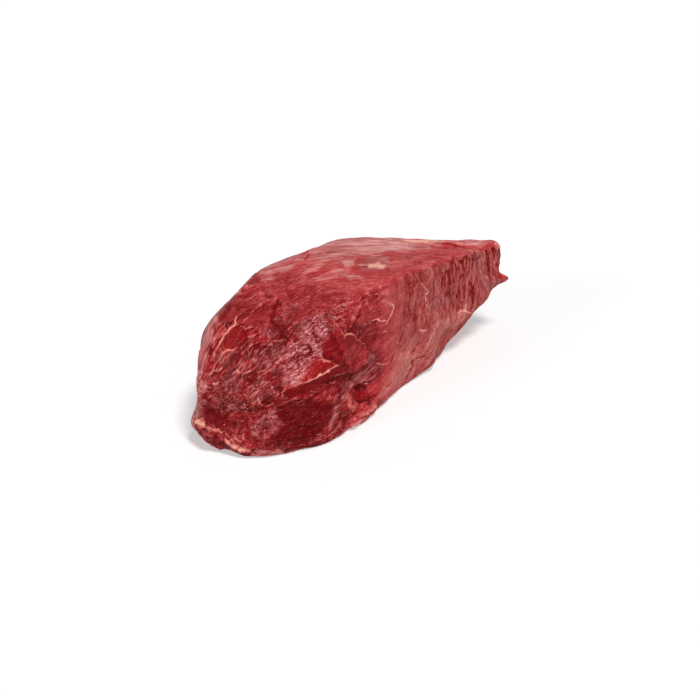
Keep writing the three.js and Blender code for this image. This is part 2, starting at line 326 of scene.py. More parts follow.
    ("ridge", 3.0, 3.0, [(494, 243), (498, 247)]),
    ("ridge", 3.0, 1.8, [(498, 256)]),
    ("dent", 3.0, 1.5, [(497, 264)]),
    ("ridge", 4.0, 1.6, [(447, 242), (456, 243), (464, 245)]),
    ("ridge", 2.2, 0.8, [(458, 258), (459, 266), (460, 274)]),
    ("ridge", 2.2, 0.8, [(479, 254), (479, 262), (479, 270)]),
    # The top: the cream patch, pale streaks and folds.
    ("vein", 2.6, 1.0, [(370, 264), (377, 266), (385, 267)]),
    ("vein", 0.6, 0.5, [(342, 269), (346, 267), (349, 263)]),
    ("vein", 0.6, 0.45, [(345, 276), (352, 275), (360, 276)]),
    ("vein", 1.2, 0.6, [(322, 254), (333, 254), (346, 253), (355, 255)]),
    ("pale", 4.0, 0.8, [(318, 255), (335, 255), (356, 256), (372, 258)]),
    ("fold", 2.0, 0.8, [(324, 255), (329, 252), (333, 250)]),
    ("fold", 2.0, 0.8, [(303, 260), (307, 255), (311, 254)]),
    ("vein", 0.7, 0.6, [(302, 261), (305, 262)]),
    ("vein", 0.8, 0.5, [(267, 277), (269, 277)]),
    ("vein", 0.7, 0.5, [(279, 274), (281, 274)]),
    ("vein", 0.7, 0.5, [(290, 275), (292, 275)]),
    ("vein", 0.7, 0.5, [(313, 266), (315, 266)]),
    ("vein", 0.5, 0.45, [(335, 284), (340, 283), (345, 282)]),
    ("vein", 0.5, 0.45, [(336, 292), (343, 290), (351, 289)]),
    ("vein", 0.5, 0.45, [(355, 294), (360, 292), (364, 292)]),
    ("vein", 0.5, 0.45, [(367, 293), (371, 291), (374, 291)]),
    # The groove and the strip of fat along the back edge, and the red shred.
    ("groove", 1.2, 1.3, [(438, 243), (450, 244), (462, 247), (474, 250)]),
    ("vein", 4.5, 1.2, [(404, 241), (420, 241), (434, 241), (448, 241)]),
    ("red", 3.0, 1.0, [(498, 274), (502, 277), (505, 278)]),
]

# Areas that show in the photograph: what they hold, their rise in mm, how soft their edge is in
# pixels, and their outline in its pixels.
AREAS = [
    # The wrinkled, glossy skin in the middle, the dark meat above it, and smaller glossy patches.
    ({"film": 1.0, "calm": 0.5}, 0.0, 4.0, [
        (316, 316), (326, 314), (329, 322), (328, 336), (323, 346), (321, 357), (313, 360), (306, 371),
        (298, 382), (284, 390), (279, 384), (281, 370), (285, 356), (291, 341), (301, 330), (309, 322)]),
    ({"film": 0.75}, 0.0, 2.0, [(283, 313), (289, 304), (299, 300), (302, 305), (296, 312), (288, 320)]),
    ({"dark": 0.35, "red": 0.2}, 0.0, 4.0, [
        (288, 320), (300, 313), (316, 306), (340, 306), (344, 318), (330, 313), (314, 314), (304, 324),
        (296, 336), (288, 334)]),
    ({"film": 0.8, "dark": 0.3}, 0.0, 3.0, [
        (254, 350), (262, 346), (272, 350), (276, 360), (270, 368), (258, 368), (252, 360)]),
    ({"film": 0.9, "dark": 0.35}, 0.0, 3.0, [
        (222, 378), (228, 370), (238, 372), (243, 380), (240, 392), (230, 396), (221, 391)]),
    ({"film": 0.8, "dark": 0.3}, 0.0, 3.0, [
        (254, 384), (264, 380), (275, 386), (276, 396), (266, 402), (255, 398)]),
    ({"film": 0.8, "dark": 0.4}, 0.0, 3.0, [
        (214, 396), (226, 394), (238, 398), (246, 405), (240, 412), (224, 410)]),
    ({"film": 0.9, "dark": 0.1}, 0.0, 2.5, [
        (248, 433), (254, 424), (264, 414), (276, 406), (283, 406), (278, 414), (273, 423), (264, 430),
        (256, 437)]),
    ({"film": 0.8, "haze": 0.2}, 0.0, 2.0, [
        (262, 435), (270, 428), (281, 420), (284, 424), (276, 431), (266, 439)]),
    # The dark cleft over the brow, darkened with painted shade.
    ({"film": 0.55, "dark": 0.85}, -0.5, 2.5, [
        (272, 316), (280, 314), (287, 322), (287, 334), (286, 348), (282, 356), (275, 352), (273, 340),
        (271, 328)]),
    # The deep red cell inside the long vein.
    ({"calm": 0.9, "dark": 0.15, "red": 0.3}, -0.3, 1.5, [
        (228, 327), (236, 325), (244, 327), (246, 332), (244, 340), (237, 348), (227, 350), (223, 345),
        (224, 336)]),
    # The smooth deep red between the glossy skin and the lobe, and the lobe.
    ({"calm": 0.9, "dark": 0.2, "red": 0.1}, 0.0, 4.0, [
        (328, 318), (336, 322), (342, 331), (346, 333), (351, 334), (357, 340), (352, 346), (346, 350),
        (345, 358), (352, 370), (345, 374), (340, 366), (334, 363), (327, 359), (322, 356), (324, 346),
        (329, 336)]),
    ({"calm": 0.4, "haze": 0.15}, 1.2, 1.2, [
        (334, 321), (341, 331), (346, 333), (351, 333), (357, 339), (366, 346), (371, 353), (369, 363),
        (362, 367), (354, 370), (346, 366), (342, 352), (337, 341), (332, 331)]),
    # The flap, the deep red face under it, and the fold below.
    ({"red": 0.65, "calm": 0.9, "dark": 0.3}, 2.0, 0.7, [
        (312, 364), (317, 360), (322, 358), (327, 360), (334, 364), (339, 365), (331, 371), (318, 377),
        (308, 381), (299, 384), (303, 375)]),
    ({"calm": 1.0, "dark": 0.1, "red": 0.45}, -0.9, 1.0, [
        (283, 397), (286, 391), (299, 386), (318, 379), (327, 374), (337, 368), (341, 372), (326, 382),
        (318, 391), (305, 397), (290, 399)]),
    ({"calm": 0.7, "red": 0.3, "haze": 0.15}, 1.2, 0.8, [
        (319, 392), (324, 387), (331, 383), (337, 382), (340, 385), (338, 391), (331, 396), (322, 398)]),
    # The smooth, dark meat of the low front, and darker and redder parts of the nose.
    ({"calm": 0.6, "dark": 0.75}, 0.0, 5.0, [
        (274, 405), (282, 402), (300, 402), (318, 400), (330, 404), (332, 420), (322, 434), (300, 442),
        (282, 447), (268, 444), (280, 424)]),
    ({"dark": 0.35}, 0.0, 4.0, [(214, 418), (228, 418), (240, 422), (242, 434), (226, 438), (214, 430)]),
    ({"dark": 0.45}, 0.0, 7.0, [
        (216, 318), (226, 304), (244, 298), (262, 304), (284, 303), (292, 310), (282, 316), (268, 322),
        (254, 324), (236, 318), (222, 330)]),
    ({"dark": 0.5}, 0.0, 6.0, [
        (250, 348), (262, 344), (276, 352), (284, 366), (280, 388), (268, 394), (256, 390), (252, 372)]),
    ({"dark": 0.1, "red": 0.3}, 0.0, 3.0, [
        (232, 418), (246, 412), (256, 418), (260, 430), (256, 444), (240, 446), (230, 436)]),
    # The hollow over the lip of the nose.
    ({"calm": 0.9, "dark": 0.5}, 0.0, 3.0, [
        (201, 410), (206, 407), (212, 409), (218, 414), (229, 419), (231, 426), (222, 428), (215, 425),
        (206, 423), (201, 418)]),
    # The thin membrane on the right of the folds, down to the floor.
    ({"skin": 0.7, "calm": 0.9, "dark": 0.6}, 0.0, 3.5, [
        (369, 350), (380, 356), (385, 368), (376, 380), (362, 383), (354, 384), (352, 376), (366, 366)]),
    ({"skin": 0.5, "calm": 0.9, "dark": 0.55}, 0.0, 3.0, [
        (362, 380), (352, 388), (348, 400), (343, 410), (338, 424), (332, 430), (331, 416), (335, 404),
        (341, 393), (339, 386), (343, 380), (352, 374)]),
    # The pocket, darkened with painted shade, with the round muscle in it, the fat beside it, and the
    # meat under it.
    ({"dark": 0.8, "calm": 0.8}, -1.2, 1.5, [(354, 386), (358, 384), (361, 386), (359, 390), (355, 390)]),
    ({"calm": 0.9, "red": 0.1, "dark": 0.15}, 0.8, 1.5, [
        (353, 391), (361, 390), (369, 390), (372, 396), (366, 400), (357, 401), (352, 398)]),
    ({"calm": 0.8, "red": 0.25, "haze": 0.4}, 0.0, 3.0, [
        (366, 386), (374, 382), (382, 382), (381, 391), (374, 396), (368, 392)]),
    ({"fat": 0.5, "red": 0.6, "calm": 0.8}, 0.8, 2.0, [
        (345, 397), (349, 393), (350, 399), (354, 402), (362, 404), (357, 407), (353, 412), (350, 411),
        (347, 408), (342, 411), (344, 404)]),
    ({"calm": 0.8, "red": 0.3, "haze": 0.3}, 0.8, 2.5, [
        (355, 411), (359, 406), (367, 404), (370, 409), (363, 414), (357, 416)]),
    # The pale strip along the foot of the side cut, partly painted light, and the paler meat above the
    # lobe.
    ({"calm": 0.8, "haze": 0.9}, 0.0, 2.5, [
        (400, 352), (412, 350), (420, 360), (400, 380), (382, 398), (366, 412), (350, 430), (342, 430),
        (352, 418), (370, 404), (382, 390), (392, 372)]),
    ({"haze": 0.3}, 0.0, 6.0, [(346, 300), (372, 296), (376, 318), (366, 328), (350, 322)]),
    # The calm meat between the lobe and the side cut.
    ({"calm": 0.35}, 0.0, 4.0, [
        (366, 298), (385, 294), (402, 300), (404, 330), (398, 358), (380, 382), (369, 372), (373, 352),
        (362, 335), (354, 318)]),
    # Skin along the left edge and the top edge, and the pale patches between them.
    ({"skin": 0.9, "calm": 0.6, "haze": 0.35}, 0.0, 6.0, [
        (243, 284), (226, 294), (212, 308), (202, 325), (195, 345), (184, 365), (180, 390), (180, 418),
        (200, 418), (206, 404), (203, 396), (209, 386), (205, 375), (210, 362), (208, 350), (214, 338),
        (213, 328), (222, 314), (234, 298)]),
    ({"haze": 1.0, "skin": 0.95, "calm": 0.5}, 0.0, 5.0, [
        (300, 256), (318, 246), (345, 238), (400, 234), (438, 234), (442, 246), (400, 251), (350, 257),
        (322, 260)]),
    ({"dark": 0.35}, 0.0, 4.0, [
        (226, 296), (232, 304), (220, 320), (213, 336), (210, 352), (208, 368), (190, 372), (192, 345),
        (202, 322), (212, 306)]),
    ({"haze": 0.9, "skin": 0.65}, 0.0, 4.0, [
        (254, 275), (268, 264), (292, 251), (304, 249), (302, 262), (290, 270), (276, 276), (264, 286)]),
    ({"haze": 0.5, "skin": 0.3}, 0.0, 2.0, [
        (234, 292), (246, 280), (258, 271), (262, 275), (250, 284), (240, 294)]),
    ({"haze": 0.5, "skin": 0.35}, 0.0, 6.0, [
        (258, 286), (270, 280), (286, 280), (284, 294), (268, 300), (258, 298)]),
    ({"haze": 0.55}, 0.0, 6.0, [(296, 262), (312, 256), (344, 258), (350, 272), (338, 284), (304, 280)]),
    ({"haze": 0.6, "skin": 0.6}, 0.0, 2.0, [
        (424, 236), (500, 236), (498, 244), (484, 246), (470, 246), (450, 243), (430, 242)]),
    # The pale notch under the side cut, partly painted light, and the meat beside the membrane.
    ({"haze": 1.0, "strewn": 0.8}, 0.0, 4.0, [
        (422, 348), (434, 326), (450, 314), (464, 314), (458, 330), (444, 340), (430, 358)]),
    ({"dark": 0.55, "calm": 0.6}, 0.0, 3.0, [
        (336, 374), (346, 372), (356, 374), (350, 384), (342, 394), (334, 392)]),
    ({"skin": 0.5, "calm": 0.7}, 0.0, 3.0, [(326, 424), (334, 416), (345, 418), (342, 430), (332, 437)]),
    # Where many torn ends of fibres lie.
    ({"strewn": 1.0}, 0.0, 5.0, [
        (300, 304), (312, 288), (334, 278), (372, 278), (394, 286), (384, 298), (356, 304), (326, 314)]),
    ({"strewn": 0.9}, 0.0, 6.0, [
        (212, 372), (216, 352), (240, 340), (266, 344), (278, 370), (272, 398), (248, 410), (222, 412),
        (210, 396)]),
    ({"strewn": 0.7}, 0.0, 6.0, [(258, 296), (268, 276), (292, 264), (318, 262), (312, 284), (286, 300)]),
    # The cream patch on the top, the lilac skin above it, and the pieces on its left.
    ({"skin": 0.95, "film": 0.15, "calm": 0.6}, 0.0, 2.0, [
        (359, 268), (362, 260), (374, 255), (388, 256), (390, 266), (386, 269), (372, 270), (364, 271)]),
    ({"fat": 1.0}, 0.3, 1.5, [(367, 264), (376, 262), (385, 264), (387, 268), (378, 269), (369, 268)]),
    ({"red": 0.6, "calm": 0.5}, 0.0, 1.5, [(354, 259), (360, 257), (367, 259), (366, 264), (358, 265)]),
    ({"skin": 1.0, "haze": 0.9}, 0.0, 2.0, [
        (342, 259), (350, 260), (355, 258), (354, 264), (350, 266), (348, 270), (344, 266)]),
    ({"skin": 0.95, "haze": 0.9}, 0.0, 2.0, [
        (335, 270), (342, 267), (347, 271), (350, 276), (358, 275), (362, 278), (350, 279), (342, 277)]),
    # The bright end of the flap, partly a painted highlight, and the skin over the floor under the nose.
    ({"film": 0.9, "haze": 1.0, "red": 0.15}, 0.0, 2.5, [
        (283, 378), (292, 373), (302, 368), (306, 373), (299, 382), (285, 390)]),
    ({"skin": 0.9}, 0.0, 1.5, [(250, 452), (262, 450), (284, 451), (286, 458), (262, 459), (250, 457)]),
]

# Colours, as red, green and blue of 255. The lean ones run from the deepest red to the palest fibres.
NOSE_LEAN = [(88, 0, 6), (116, 3, 12), (140, 9, 18), (164, 26, 34), (204, 90, 92)]
# The top's colours are paler than the nose's: partly its own duller colour, partly painted light.
TOP_LEAN = [(140, 20, 28), (168, 42, 46), (186, 65, 67), (202, 91, 89), (220, 132, 126)]
CUT_LEAN = [(122, 20, 24), (150, 48, 48), (172, 76, 74), (188, 98, 92), (210, 132, 122)]
LILAC = (138, 72, 78)
LIVELY = (178, 20, 22)
# The colour of painted shade, in clefts, creases and grooves.
SHADE = (108, 0, 6)
# The film's colours: a membrane's own, with its pale end partly painted sheen and glints.
FILM_AND_SHEEN = [(112, 12, 20), (174, 68, 74), (226, 152, 156)]
SKIN = [(140, 44, 48), (190, 104, 104), (226, 160, 154)]
TISSUE = (208, 112, 108)
# Fat also colours the rims, where it is partly a painted highlight.
FAT = (218, 124, 110)
FAT_PALE = (240, 173, 154)
FLOOR = (204, 204, 204)
FLOOR_ROUGHNESS = 0.8
FLOOR_GLOW = 0.4  # emission strength that makes the floor nearly white
FLOOR_SIZE = 60.0  # metres

# How the wet surface shines.
SPECULAR_LEVEL = 0.06
MEAT_IOR = 1.38
COAT_ROUGHNESS = 0.16
COAT_IOR = 1.33
BUMP_DEPTH = 1.1

# How far each of the two noises pushes the edges of the areas in pixels, and its wavelength.
RAGGED = ((1.6, 6.0), (1.0, 2.6))


def unit(vectors):
    return vectors / np.maximum(np.linalg.norm(vectors, axis=-1, keepdims=True), 1e-9)


def ramp(values, low, high):
    """0 below low, 1 above high, and a smooth rise between them."""
    share = np.clip((values - low) / (high - low), 0.0, 1.0)
    return share * share * (3 - 2 * share)


class Noise:
    """Smooth gradient noise in three dimensions, mostly between -1 and 1. Each seed gives another."""

    CELLS = 256
    GAIN = 1.7

    def __init__(self, seed):
        draw = np.random.default_rng(seed)
        self.order = draw.permutation(self.CELLS)
        self.ways = unit(draw.normal(size=(self.CELLS, 3)))

    def __call__(self, places):
        cell = np.floor(places).astype(np.int64)
        part = places - cell
        fade = part ** 3 * (part * (part * 6 - 15) + 10)
        total = np.zeros(len(places))
        for corner in itertools.product((0, 1), repeat=3):
            step = np.array(corner)
            x, y, z = ((cell + step) % self.CELLS).T
            key = self.order[(self.order[(self.order[x] + y) % self.CELLS] + z) % self.CELLS]
            share = np.prod(np.where(step, fade, 1 - fade), axis=1)
            total += share * np.einsum("ij,ij->i", self.ways[key], part - step)
        return self.GAIN * total


class Bundles:
    """Cells, with one near each whole number, that divide the muscle as its bundles of fibres do."""

    CELLS = 256
    JITTER = 0.8

    def __init__(self, seed):
        draw = np.random.default_rng(seed)
        self.order = draw.permutation(self.CELLS)
        self.spots = 0.5 + self.JITTER * (draw.random((self.CELLS, 3)) - 0.5)
        self.tints = draw.random(self.CELLS) - 0.5

    def __call__(self, places):
        """Each place's distance from its bundle's border, the bundle's tint, and how far along it lies."""
        cell = np.floor(places).astype(np.int64)
        gaps = np.full((2, len(places)), np.inf)
        spots = np.zeros((2, len(places), 3))
        tint = np.zeros(len(places))
        for corner in itertools.product((-1, 0, 1), repeat=3):
            near = cell + np.array(corner)
            x, y, z = (near % self.CELLS).T
            key = self.order[(self.order[(self.order[x] + y) % self.CELLS] + z) % self.CELLS]
            spot = near + self.spots[key]
            gap = ((places - spot) ** 2).sum(axis=1)
            first = gap < gaps[0]
            second = ~first & (gap < gaps[1])
            gaps[1] = np.where(first, gaps[0], np.where(second, gap, gaps[1]))
            spots[1] = np.where(first[:, None], spots[0], np.where(second[:, None], spot, spots[1]))
            gaps[0] = np.where(first, gap, gaps[0])
            spots[0] = np.where(first[:, None], spot, spots[0])
            tint = np.where(first, self.tints[key], tint)
        across = unit(spots[1] - spots[0])
        border = np.einsum("ij,ij->i", spots.mean(axis=0) - places, across)
        return border, tint, places[:, 0] - spots[0, :, 0]


# Mesh work, on arrays of points in mm and of triangles.

def weld(points, triangles, gap=0.01):
    """Makes one vertex of those that lie closer together than the gap."""
    keys = np.round(points / gap).astype(np.int64)
    _, first, place = np.unique(keys, axis=0, return_index=True, return_inverse=True)
    welded = place.reshape(-1)[triangles]
    whole = np.all(welded != np.roll(welded, -1, axis=1), axis=1)
    return points[first], welded[whole]


def edges_of(triangles, count):
    """Each edge once, and for each triangle the edges from its first, second and third corner."""
    sides = np.stack([triangles, np.roll(triangles, -1, axis=1)], axis=-1).reshape(-1, 2)
    sides.sort(axis=1)
    keys, place = np.unique(sides[:, 0] * count + sides[:, 1], return_inverse=True)
    return np.stack([keys // count, keys % count], axis=1), place.reshape(-1, 3)


def split_edges(points, triangles, limits):
    """Halves every edge that is longer than the limit at either end, and the triangles beside it."""
    edges, sides = edges_of(triangles, len(points))
    ends = points[edges]
    middles = ends.mean(axis=1)
    split = np.linalg.norm(ends[:, 0] - ends[:, 1], axis=1) > limits[edges].min(axis=1)
    new = np.full(len(edges), -1)
    new[split] = len(points) + np.arange(split.sum())
    points = np.concatenate([points, middles[split]])
    mid = new[sides]
    halved = (mid >= 0).sum(axis=1)
    made = [triangles[halved == 0]]

    def turned(rows, first):
        """The corners and middles of these triangles, turned round until side first comes first."""
        turn = (first[:, None] + np.arange(3)) % 3
        corners = np.take_along_axis(triangles[rows], turn, axis=1)
        return corners.T, np.take_along_axis(mid[rows], turn, axis=1).T

    rows = np.flatnonzero(halved == 1)
    (a, b, c), (ab, _, _) = turned(rows, np.argmax(mid[rows] >= 0, axis=1))
    made += [np.stack([a, ab, c], 1), np.stack([ab, b, c], 1)]
    rows = np.flatnonzero(halved == 2)
    (a, b, c), (ab, bc, _) = turned(rows, (np.argmin(mid[rows] >= 0, axis=1) + 1) % 3)
    made.append(np.stack([ab, b, bc], 1))
    lengths = [np.linalg.norm(points[p] - points[q], axis=1) for p, q in ((ab, c), (a, bc))]
    across = lengths[0] < lengths[1]
    made += [np.stack([a, ab, np.where(across, c, bc)], 1), np.stack([np.where(across, ab, a), bc, c], 1)]
    rows = np.flatnonzero(halved == 3)
    (a, b, c), (ab, bc, ca) = turned(rows, np.zeros(len(rows), np.int64))
    made += [np.stack(corners, 1) for corners in ((a, ab, ca), (ab, b, bc), (ca, bc, c), (ab, bc, ca))]
    return points, np.concatenate(made)


def neighbour_mean(values, edges):
    """For each vertex, the mean of its neighbours' values."""
    count = len(values)
    a, b = edges.T
    total = np.empty_like(values)
    for column in range(values.shape[1]):
        v = values[:, column]
        total[:, column] = np.bincount(a, v[b], count) + np.bincount(b, v[a], count)
    return total / (np.bincount(a, minlength=count) + np.bincount(b, minlength=count))[:, None]


def smooth(points, triangles, rounds, inward=0.5, outward=-0.53):
    """Evens out the facets, and keeps the volume by a step out after each step in."""
    edges, _ = edges_of(triangles, len(points))
    for _ in range(rounds):
        for share in (inward, outward):
            points = points + share * (neighbour_mean(points, edges) - points)
    return points


def normals_of(points, triangles):
    """The outward normal at each vertex, of its triangles weighed by their areas."""
    a, b, c = (points[triangles[:, k]] for k in range(3))
    facing = np.cross(b - a, c - a)
    total = np.zeros_like(points)
    for column in range(3):
        for corner in range(3):
            total[:, column] += np.bincount(triangles[:, corner], facing[:, column], len(points))
    return unit(total)


def tree_of(points, triangles):
    return BVHTree.FromPolygons(points.tolist(), triangles.tolist())


# Marks, as lines of points on the muscle.

def sight(x, y):
    """The direction in which the camera looks through a pixel."""
    return unit(-BACK + RIGHT * ((x - PHOTO_SIZE[0] / 2) / FOCAL) - UP * ((y - PHOTO_SIZE[1] / 2) / FOCAL))


def carry(pixels, tree, step=1.2):
    """The points of the muscle that show at a line of pixels."""
    pixels = np.array(pixels, float)
    gaps = np.linalg.norm(np.diff(pixels, axis=0), axis=1)
    along = np.concatenate([[0.0], np.cumsum(gaps)])
    places = np.linspace(0.0, along[-1], int(along[-1] / step) + 1 if len(pixels) > 1 else 1)
    found = []
    for place in places:
        x, y = (np.interp(place, along, pixels[:, k]) for k in range(2))
        hit = tree.ray_cast(Vector(EYE), Vector(sight(x, y)))[0]
        if hit is not None:
            found.append(hit)
    return np.array(found)


def offsets(points, normals, line):
    """Each point's distance from a line, how far it lies to the line's left, and where along it."""
    if len(line) == 1:
        return np.linalg.norm(points - line[0], axis=1), np.zeros(len(points)), np.full(len(points), 0.5)
    away = np.full(len(points), np.inf)
    left = np.zeros(len(points))
    along = np.zeros(len(points))
    for index, (start, end) in enumerate(zip(line[:-1], line[1:])):
        way = end - start
        share = np.clip((points - start) @ way / max(way @ way, 1e-9), 0.0, 1.0)
        gap = points - start - share[:, None] * way
        length = np.linalg.norm(gap, axis=1)
        nearer = length < away
        side = np.einsum("ij,ij->i", gap, np.cross(normals, unit(way)))
        away = np.where(nearer, length, away)
        left = np.where(nearer, side, left)
        along = np.where(nearer, (index + share) / (len(line) - 1), along)
    return away, left, along


def close_to(places, samples, cell=2.2, most=4096):
    """Which places lie in or beside a grid cell that holds a sample. Most is over the cells in a row."""
    def key(cells):
        return (cells[:, 0] * most + cells[:, 1]) * most + cells[:, 2]

    cells = np.floor(samples / cell).astype(np.int64)
    around = [key(cells + np.array(step)) for step in itertools.product((-1, 0, 1), repeat=3)]
    return np.isin(key(np.floor(places / cell).astype(np.int64)), np.unique(np.concatenate(around)))


# Where things are on the muscle.

def along_run(points):
    """Places along and across the fibres that run from the nose to the far end."""
    axis = unit(FAR_POLE - NOSE_POLE)
    side = unit(np.cross([0.0, 0.0, 1.0], axis))
    gap = points - NOSE_POLE
    along = gap @ axis
    spoke = gap - along[:, None] * axis
    spoke *= (GIRTH_RADIUS / np.maximum(np.linalg.norm(spoke, axis=1), POLE_RADIUS))[:, None]
    return np.stack([along, spoke @ side, spoke @ np.cross(axis, side)], axis=1)


def along_top(points):
    """Places along and across the fibres on the top."""
    x, y, z = points.T
    return np.stack([
        x * math.cos(TOP_HEADING) + y * math.sin(TOP_HEADING),
        y * math.cos(TOP_HEADING) - x * math.sin(TOP_HEADING),
        z,
    ], axis=1)


def along_cut(points):
    """Places across and along the upright cords of the side cut, which lean over near the floor."""
    x, y, z = points.T
    lean = 0.013 * np.maximum(65.0 - z, 0.0) ** 2
    return np.stack([x + y + lean, z, x - y], axis=1)


def cut_share(points, normals):
    """How much a point belongs to the side cut and the far end, where the grain was cut across."""
    heading = unit(normals[:, :2]) @ CUT_WAY
    return ramp(heading, 0.15, 0.5) * ramp(-normals[:, 2], -0.78, -0.5) * ramp(points[:, 0], -25.0, 30.0)


def skin_share(points, normals):
    """How much skin covers a point of the back, where it is torn off in patches."""
    heading = unit(normals[:, :2]) @ -CUT_WAY
    ragged = 0.3 * Noise(49)(points / [30.0, 12.0, 12.0])
    covered = ramp(heading + ragged, 0.3, 0.9) * ramp(ragged - normals[:, 2], -0.75, -0.1)
    whole = 0.68 + 0.55 * Noise(47)(points / [55.0, 24.0, 24.0])
    return covered * np.clip(whole, 0.0, 1.0)


def grown_veins(points, normals, tree, count, seed):
    """Veins on the sides that the photograph doesn't show, wandering along the fibres."""
    draw = np.random.default_rng(seed)
    hidden = (normals @ BACK < -0.12) & (normals[:, 2] > -0.7)
    starts = draw.choice(np.flatnonzero(hidden), count, replace=False)
    axis = unit(FAR_POLE - NOSE_POLE)
    lines = []
    for start in starts:
        place = points[start]
        facing = normals[start]
        way = unit(axis * draw.choice([-1.0, 1.0]) + 0.5 * draw.normal(size=3))
        line = [place]
        for _ in range(int(draw.integers(4, 22))):
            way = unit(way + 0.4 * draw.normal(size=3))
            way = unit(way - facing * (way @ facing))
            hit, normal, _, _ = tree.find_nearest(Vector(place + 2.0 * way))
            place, facing = np.array(hit), np.array(normal)
            line.append(place)
        lines.append(("vein", draw.uniform(0.4, 1.0), draw.uniform(0.5, 0.9), np.array(line)))
    return lines


def pixels_of(points):
    """Where points show in the photograph."""
    gap = points - EYE
    share = FOCAL / (gap @ -BACK)
    return PHOTO_SIZE / 2 + np.stack([gap @ RIGHT, -(gap @ UP)], axis=1) * share[:, None]


def inside(pixels, outline):
    """How many pixels deep each place lies inside an outline, below 0 outside it."""
    outline = np.array(outline, float)
    away = np.full(len(pixels), np.inf)
    odd = np.zeros(len(pixels), bool)
    for start, end in zip(outline, np.roll(outline, -1, axis=0)):
        way = end - start
        gap = pixels - start
        share = np.clip(gap @ way / (way @ way), 0.0, 1.0)
        away = np.minimum(away, np.linalg.norm(gap - share[:, None] * way, axis=1))
        if way[1]:
            crosses = (pixels[:, 1] >= start[1]) != (pixels[:, 1] >= end[1])
            odd ^= crosses & (gap[:, 0] < way[0] * gap[:, 1] / way[1])
    return np.where(odd, away, -away)


def press_areas(points, normals, paint):
    """Adds the colours of all areas, and returns their relief."""
    height = np.zeros(len(points))
    pixels = pixels_of(points)
    for amount, size in RAGGED:
        pixels = pixels + amount * np.stack([Noise(seed)(points / size) for seed in (45, 46)], axis=1)
    seen = ramp(normals @ BACK, -0.3, 0.0)
    for holds, rise, soft, outline in AREAS:
        low, high = np.min(outline, axis=0) - soft, np.max(outline, axis=0) + soft
        near = np.flatnonzero(np.all((pixels > low) & (pixels < high), axis=1) & (seen > 0.0))
        share = seen[near] * ramp(inside(pixels[near], outline), -soft, soft)
        height[near] += rise * share
        for name, strength in holds.items():
            paint[name][near] = np.maximum(paint[name][near], strength * share)
    return height


def press_marks(points, normals, marks):
    """The relief of all marks together, and the strength of each of their colours at each point."""
    paint = {name: np.zeros(len(points)) for name in PAINTS}
    height = press_areas(points, normals, paint)
    wobble = 0.8 * np.stack([Noise(seed)(points / 5.0) for seed in (31, 37, 41)], axis=1)
    uneven = 1.0 + 0.45 * Noise(43)(points / 3.5)
    for kind, wide, strength, line in marks:
        form = KINDS[kind]
        reach = 3.5 * wide + 2.0
        beside = (points > line.min(0) - reach) & (points < line.max(0) + reach)
        near = np.flatnonzero(np.all(beside, axis=1))
        if not len(near):
            continue
        away, left, along = offsets(points[near] + wobble[near], normals[near], line)
        taper = 0.35 + 0.65 * np.sqrt(np.sin(np.pi * np.clip(along, 0.0, 1.0)))
        bell = np.exp(-(away / (wide * uneven[near] * (taper if len(line) > 3 else 1.0))) ** 2)
        height[near] += strength * form.get("rise", 0.0) * bell
        if "step" in form:
            height[near] += strength * form["step"] * np.tanh(left / STEP_SOFTNESS) * bell
            lip = np.exp(-((left - 0.5) / (0.85 * uneven[near])) ** 2 - (away / 1.8) ** 2)
            # The sunken side gets painted shade.
            below = bell * ramp(-left, 0.1, 0.9)
            paint["fat"][near] = np.maximum(paint["fat"][near], strength * form["lip"] * lip)
            paint["dark"][near] = np.maximum(paint["dark"][near], strength * form["shade"] * below)
        for name in paint:
            if name in form:
                paint[name][near] = np.maximum(paint[name][near], strength * form[name] * bell)
    return height, {name: np.clip(values, 0.0, 1.0) for name, values in paint.items()}


def wander(points, size, amount, seed):
    """A smooth, random push for each point."""
    return amount * np.stack([Noise(seed + k)(points / size) for k in range(3)], axis=1)


def dome(border, width):
    """A bundle's rounded height, from 0 at its border to 1 past a width."""
    return 1.0 - (1.0 - np.clip(border / width, 0.0, 1.0)) ** 2


